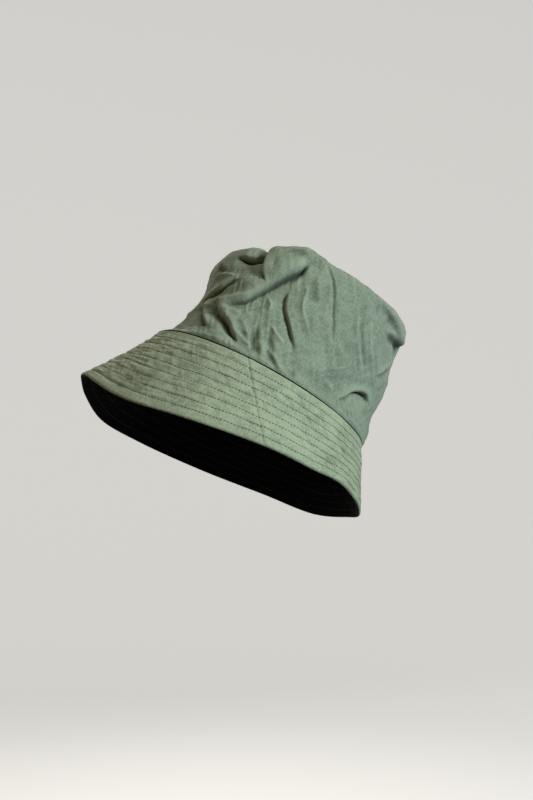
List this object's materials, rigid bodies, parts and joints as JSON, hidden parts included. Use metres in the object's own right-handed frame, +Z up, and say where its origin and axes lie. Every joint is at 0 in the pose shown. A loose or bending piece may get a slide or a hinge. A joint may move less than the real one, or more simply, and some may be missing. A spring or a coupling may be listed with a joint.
{
  "type": "bucket hat",
  "caption": "Reversible cotton bucket hat: soft panelled crown, wide sloping quilted brim with rows of stitching, black lining and under-brim.",
  "frame": {"origin": "centre of the head opening, in the plane of the seam between crown and brim", "axes": "+Z up out of the top of the crown, -Y the way the wearer faces, +X the wearer's left"},
  "size_m": [0.24, 0.2544, 0.1806],
  "materials": {
    "outer_cloth": "plain-weave cotton, washed, matt",
    "inner_cloth": "plain-weave cotton, black, matt",
    "interlining": "non-woven canvas, matt",
    "tape": "cotton bias tape, matt",
    "green_thread": "polyester core-spun thread, slight sheen",
    "black_thread": "polyester core-spun thread, slight sheen",
    "label_cloth": "blank woven satin tape"
  },
  "bodies": {
    "root": {"crown_tip": "outer_cloth", "crown_side_front": "outer_cloth", "crown_side_back": "outer_cloth", "brim_top_front": "outer_cloth", "brim_top_back": "outer_cloth", "brim_interlining_front": "interlining", "brim_interlining_back": "interlining", "brim_under_front": "inner_cloth", "brim_under_back": "inner_cloth", "lining_tip": "inner_cloth", "lining_side_front": "inner_cloth", "lining_side_back": "inner_cloth", "crown_seam_tape": "tape", "side_seam_tapes": "tape", "brim_stitch_rows": "green_thread", "brim_bobbin_rows": "black_thread", "crown_seam_thread": "black_thread", "tip_seam_thread": "black_thread", "care_label": "label_cloth"}
  },
  "joints": []
}
